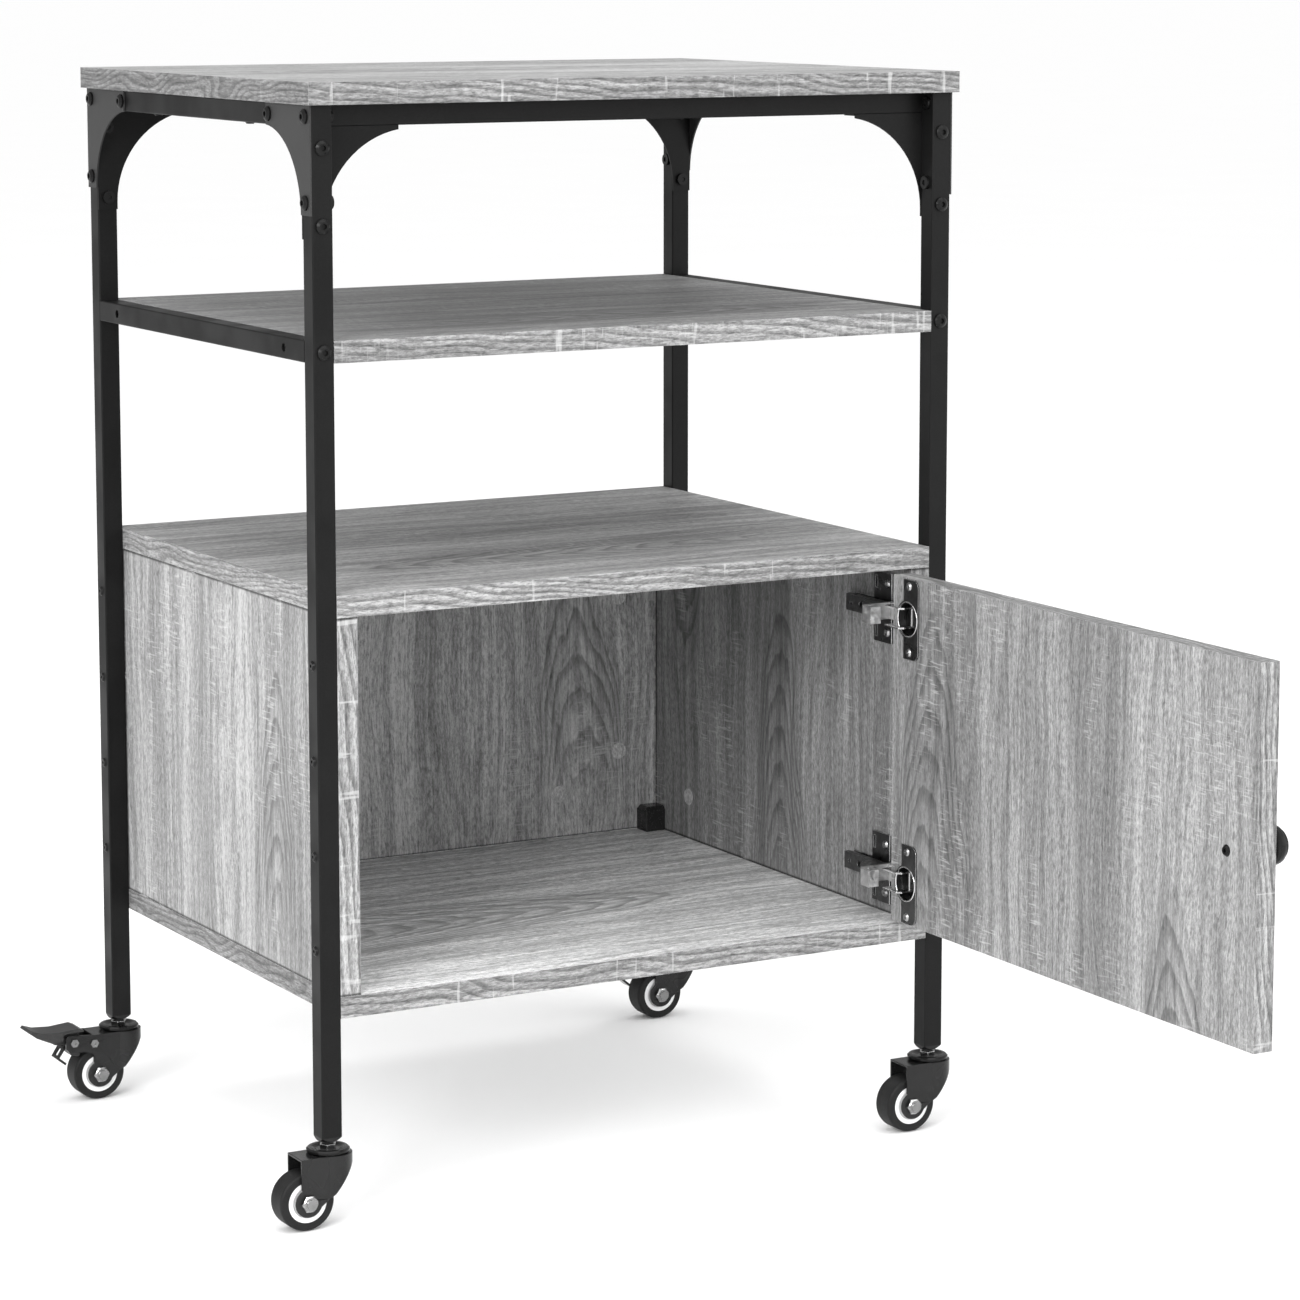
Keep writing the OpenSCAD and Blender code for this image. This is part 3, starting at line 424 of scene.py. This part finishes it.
def moulded(name, tone, rough, grain=900, dust=0.25, specular=0.3):
    """Moulded plastic or rubber: fine tool texture and a little dust."""
    shader = Shader(name, roughness=rough, specular=specular)
    vector = shader.coords.outputs["Object"]
    fine = shader.noise(vector, scale=grain, detail=2.0)
    soil = shader.noise(vector, scale=55, detail=3.0, rough=0.6)
    shader.bump(fine, 0.10, 0.2 * MM)
    return shader.finish(
        shader.grey(shader.span(soil, 0.30, 0.68, tone * (1 - dust), tone)),
        shader.span(fine, 0.3, 0.7, rough - 0.06, rough + 0.06))


def printed_film():
    """Thin self-adhesive film with a wood print."""
    shader = Shader("cover_film", roughness=0.45, specular=0.3)
    vector = shader.coords.outputs["Object"]
    fibres = shader.noise(vector, stretch=(900, 900, 300), detail=3.0, rough=0.7)
    soil = shader.noise(vector, scale=400, detail=2.0)
    shader.bump(soil, 0.3, 0.2 * MM)
    tone = shader.product(0.48, shader.span(fibres, 0.35, 0.65, 0.70, 1.25),
                          shader.span(soil, 0.3, 0.7, 0.85, 1.1))
    return shader.finish(shader.grey(tone))


MATERIALS = {
    "frame_black": powder_coat("frame_black", 0.006, specular=0.14),
    "black_screw": powder_coat("black_screw", 0.005, rough=0.30, specular=0.18),
    "caster_black": powder_coat("caster_black", 0.010, rough=0.22, specular=0.30),
    "pedal": powder_coat("pedal", 0.030, rough=0.40, specular=0.22),
    "knob": powder_coat("knob", 0.005, rough=0.26, specular=0.25),
    "plastic": moulded("plastic", 0.008, 0.35),
    "wheel_core": moulded("wheel_core", 0.86, 0.38, dust=0.08),
    "tyre": moulded("tyre", 0.015, 0.55, grain=1800, dust=0.35, specular=0.18),
    "nickel": bare_metal("nickel", 0.40, 0.24),
    # The bright steel has painted reflections on its faces.
    "bright_steel": bare_metal("bright_steel", 0.52, 0.16, facet_reflection_share=0.55),
    "dowel_wood": raw_wood(),
    "cover_film": printed_film(),
}
OAK_EDGE_HIGHLIGHT = oak_edge_highlight()
# Painted highlight: the rounded edges of nickel and bright steel parts, and the cup lips, in
# near-white steel.
METAL_EDGE_HIGHLIGHT = bare_metal("metal_edge_highlight", 0.92, 0.20)
# Painted shade: the hinge plates and cups are the same nickel made dark, standing in for the dark
# cabinet they reflect.
SHADED_PLATE_NICKEL = bare_metal("shaded_nickel_plate", 0.13, 0.34)
# Painted light: the hinge arms' front is nickel made far lighter than the plain nickel, for the
# light it catches; behind it, painted shade.
LIT_ARM_NICKEL = bare_metal("lit_nickel_arm", 0.86, 0.42, stretch=(300, 300, 300),
                        painted_shade_from=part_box("hinge_arms")[0].y + ARM_NOSE)
DISC_BLACK = powder_coat("disc_black", 0.004, rough=0.14, specular=0.22)
# Painted light: the side gussets are the frame's black made lighter, for the key lamp on their
# outward faces.
LIT_GUSSET_BLACK = powder_coat("lit_gusset_black", 0.034, rough=0.5, specular=0.20)
BLOCK_PLASTIC = moulded("block_plastic", 0.022, 0.22, specular=0.5)
OWN_FINISH_AND_PAINTED_LIGHT = {  # nodes whose finish differs from their slot's usual one; the hinge nickel and gussets by painted light and shade
    "corner_blocks": BLOCK_PLASTIC,
    "hinge_plates": SHADED_PLATE_NICKEL, "hinge_cups": SHADED_PLATE_NICKEL, "hinge_arms": LIT_ARM_NICKEL,
    "side_gussets": LIT_GUSSET_BLACK, "caster_stems": DISC_BLACK,
}


# ---------------------------------------------------------------- CAD nodes

SLOT_OF = {s["node"]: s["material_slot"] for s in frame["record"]["subparts"]}
BOARD_ROUND = 0.9       # millimetres
WIDE_ROUND = 0.6        # from here a rounded edge gets one more facet
EDGE_ANGLE = 24
WELD_DISTANCE = 0.002 * MM
ROUNDED = {  # radius in millimetres of the edges that a node's sheet or mould leaves round
    "leg_plugs": 0.5, "door_knob": 0.4, "corner_blocks": 1.2, "hinge_arms": 0.35,
    "hinge_straps": 0.3, "hinge_cups": 0.3, "hinge_plates": 0.3, "pedal_left": 0.5,
    "pedal_right": 0.5, "brake_spring_left": 0.25, "brake_spring_right": 0.25,
    "caster_nuts": 0.25, "hinge_cup_screws": 0.2, "hinge_plate_screws": 0.2,
}
ROUNDED.update({"fork_" + corner: 0.9 for corner in CORNERS})
ROUNDED.update({"axle_" + corner: 0.3 for corner in CORNERS})
# Slots whose rounded edges get the painted metal highlight.
BRIGHT_EDGES = ("nickel", "bright_steel")


def smooth_edges(obj, radius, material=-1):
    """Rounds the hard edges of a CAD node by a modifier; its own mesh stays as packed."""
    for polygon in obj.data.polygons:
        polygon.use_smooth = True
    if "custom_normal" in obj.data.attributes:
        obj.data.attributes.remove(obj.data.attributes["custom_normal"])
    weld = obj.modifiers.new("weld", "WELD")
    weld.merge_threshold = WELD_DISTANCE
    bevel = obj.modifiers.new("edges", "BEVEL")
    bevel.width = radius * MM
    bevel.segments = 3 if radius > WIDE_ROUND else 2
    bevel.limit_method = "ANGLE"
    bevel.angle_limit = math.radians(EDGE_ANGLE)
    bevel.use_clamp_overlap = True
    bevel.harden_normals = True
    bevel.material = material
    bevel.miter_outer = "MITER_ARC"


def dress(name):
    """Gives a CAD node its material, and rounds its edges if they are round on the cart. A board's
    rounded edges get the lighter arris, partly wear and partly painted highlight; bright metal's
    rounded edges get the painted metal highlight.
    """
    obj = NODES[name]
    obj.data.materials.clear()
    if name in BOARDS:
        obj.data.materials.append(oak(name, BOARDS[name]))
        obj.data.materials.append(OAK_EDGE_HIGHLIGHT)
        smooth_edges(obj, BOARD_ROUND, material=1)
        return
    slot = SLOT_OF[name]
    obj.data.materials.append(OWN_FINISH_AND_PAINTED_LIGHT.get(name, MATERIALS[slot]))
    if name not in ROUNDED:
        return
    if slot in BRIGHT_EDGES:
        obj.data.materials.append(METAL_EDGE_HIGHLIGHT)
    smooth_edges(obj, ROUNDED[name], material=1 if slot in BRIGHT_EDGES else -1)


for node_name in NODES:
    dress(node_name)


# ---------------------------------------------------------------- rolled lips of the hinge cups

WING_HALF = 29 * MM
MOUTH_RADIUS = 12.5 * MM
LIP_RADIUS = 0.55 * MM
LIP_SINK = 0.25 * MM
LIP_SIDES, LIP_STEPS = 12, 72


def ring_mesh(name, centre, radius, thickness):
    """A round wire ring about the X axis."""
    verts, faces = [], []
    for step in range(LIP_STEPS):
        around = 2 * math.pi * step / LIP_STEPS
        for side in range(LIP_SIDES):
            turn = 2 * math.pi * side / LIP_SIDES
            reach = radius + thickness * math.sin(turn)
            verts.append(centre + Vector((thickness * math.cos(turn),
                                          -reach * math.sin(around), reach * math.cos(around))))
            here, onward = step * LIP_SIDES, (step + 1) % LIP_STEPS * LIP_SIDES
            beside = (side + 1) % LIP_SIDES
            faces.append((here + side, here + beside, onward + beside, onward + side))
    mesh = bpy.data.meshes.new(name)
    mesh.from_pydata(verts, [], faces)
    for polygon in mesh.polygons:
        polygon.use_smooth = True
    return mesh


def add_cup_lips():
    """A lip round the mouth of each cup, at the middle of its flange's height, in the painted
    metal highlight.
    """
    low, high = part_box("hinge_cups")
    for label, height in (("lower", low.z + WING_HALF), ("upper", high.z - WING_HALF)):
        name = "cup_lip_" + label
        centre = Vector((low.x + LIP_SINK, (low.y + high.y) / 2, height))
        mesh = ring_mesh(name, centre, MOUTH_RADIUS, LIP_RADIUS)
        mesh.materials.append(METAL_EDGE_HIGHLIGHT)
        piece = bpy.data.objects.new(name, mesh)
        bpy.context.scene.collection.objects.link(piece)
        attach(piece, "door")


add_cup_lips()


# ---------------------------------------------------------------- camera, floor and light

top_lo, top_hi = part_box("worktop")
top_centre = Vector(((top_lo.x + top_hi.x) / 2, (top_lo.y + top_hi.y) / 2, top_hi.z))
CAMERA_FROM_TOP = Vector((-1.3965, -2.6798, 0.0876))
CAMERA_TURN = math.radians(29.410)
CAMERA_PITCH = math.radians(7.874)
LENS, SENSOR = 114.72, 36       # millimetres
SHIFT_DOWN = 0.10
CLIP = (0.05, 200)
FLOOR_REACH = 80
FLOOR_GAP = 0.4 * MM
WORLD_FALL = (0.10, 0.60, 0.0)
LIGHTS = {  # place from the cart's middle, side of the lamp, watts
    "key": ((-2.7, -1.9, 1.4), 1.4, 70),
    "fill": ((2.4, -2.2, 0.9), 2.0, 12),
    "top": ((0, -0.2, 2.6), 3.0, 45),
}


def make_camera():
    data = bpy.data.cameras.new("camera")
    data.lens = LENS
    data.sensor_width = SENSOR
    data.shift_y = -SHIFT_DOWN
    data.dof.use_dof = False
    data.clip_start, data.clip_end = CLIP
    camera = bpy.data.objects.new("camera", data)
    camera.location = top_centre + CAMERA_FROM_TOP
    camera.rotation_euler = (math.radians(90) - CAMERA_PITCH, 0, -CAMERA_TURN)
    bpy.context.scene.collection.objects.link(camera)
    bpy.context.scene.camera = camera


def make_floor():
    mesh = bpy.data.meshes.new("floor")
    bm = bmesh.new()
    bmesh.ops.create_grid(bm, x_segments=1, y_segments=1, size=FLOOR_REACH)
    bm.to_mesh(mesh)
    bm.free()
    floor = bpy.data.objects.new("floor", mesh)
    floor.location.z = cad_box[0].z - FLOOR_GAP
    bpy.context.scene.collection.objects.link(floor)
    shader = Shader("studio_floor", roughness=0.95, specular=0.0)
    fade = shader.noise(shader.coords.outputs["Object"], scale=3)
    mesh.materials.append(shader.finish(shader.grey(shader.span(fade, 0.3, 0.7, 0.985, 0.99))))


def area_light(name, target, from_target, side, power):
    data = bpy.data.lights.new(name, "AREA")
    data.shape = "SQUARE"
    data.size = side
    data.energy = power
    light = bpy.data.objects.new(name, data)
    light.location = target + Vector(from_target)
    light.rotation_euler = (-Vector(from_target)).to_track_quat("-Z", "Y").to_euler()
    bpy.context.scene.collection.objects.link(light)


def make_world():
    """White backdrop whose light is stronger from the front than from the rear. The fall is
    linear, so what faces straight up gets the same light as from an even backdrop."""
    world = bpy.data.worlds.new("studio")
    bpy.context.scene.world = world
    world.use_nodes = True
    nodes, links = world.node_tree.nodes, world.node_tree.links
    background = next(n for n in nodes if n.type == "BACKGROUND")
    background.inputs["Color"].default_value = (1, 1, 1, 1)
    direction = nodes.new("ShaderNodeTexCoord").outputs["Generated"]
    across = nodes.new("ShaderNodeVectorMath")
    across.operation = "DOT_PRODUCT"
    across.inputs[1].default_value = WORLD_FALL
    links.new(direction, across.inputs[0])
    light = nodes.new("ShaderNodeMath")
    light.operation = "SUBTRACT"
    light.inputs[0].default_value = 1.0
    links.new(across.outputs["Value"], light.inputs[1])
    seen = nodes.new("ShaderNodeMix")
    input_a, input_b, result = MIX_SOCKETS["FLOAT"]
    links.new(nodes.new("ShaderNodeLightPath").outputs["Is Camera Ray"], seen.inputs["Factor"])
    links.new(light.outputs["Value"], seen.inputs[input_a])
    seen.inputs[input_b].default_value = 1.0
    links.new(seen.outputs[result], background.inputs["Strength"])


make_camera()
make_floor()
make_world()
for light_name, (from_middle, side, power) in LIGHTS.items():
    area_light(light_name, (cad_box[0] + cad_box[1]) / 2, from_middle, side, power)
bpy.context.scene.view_settings.view_transform = "Standard"
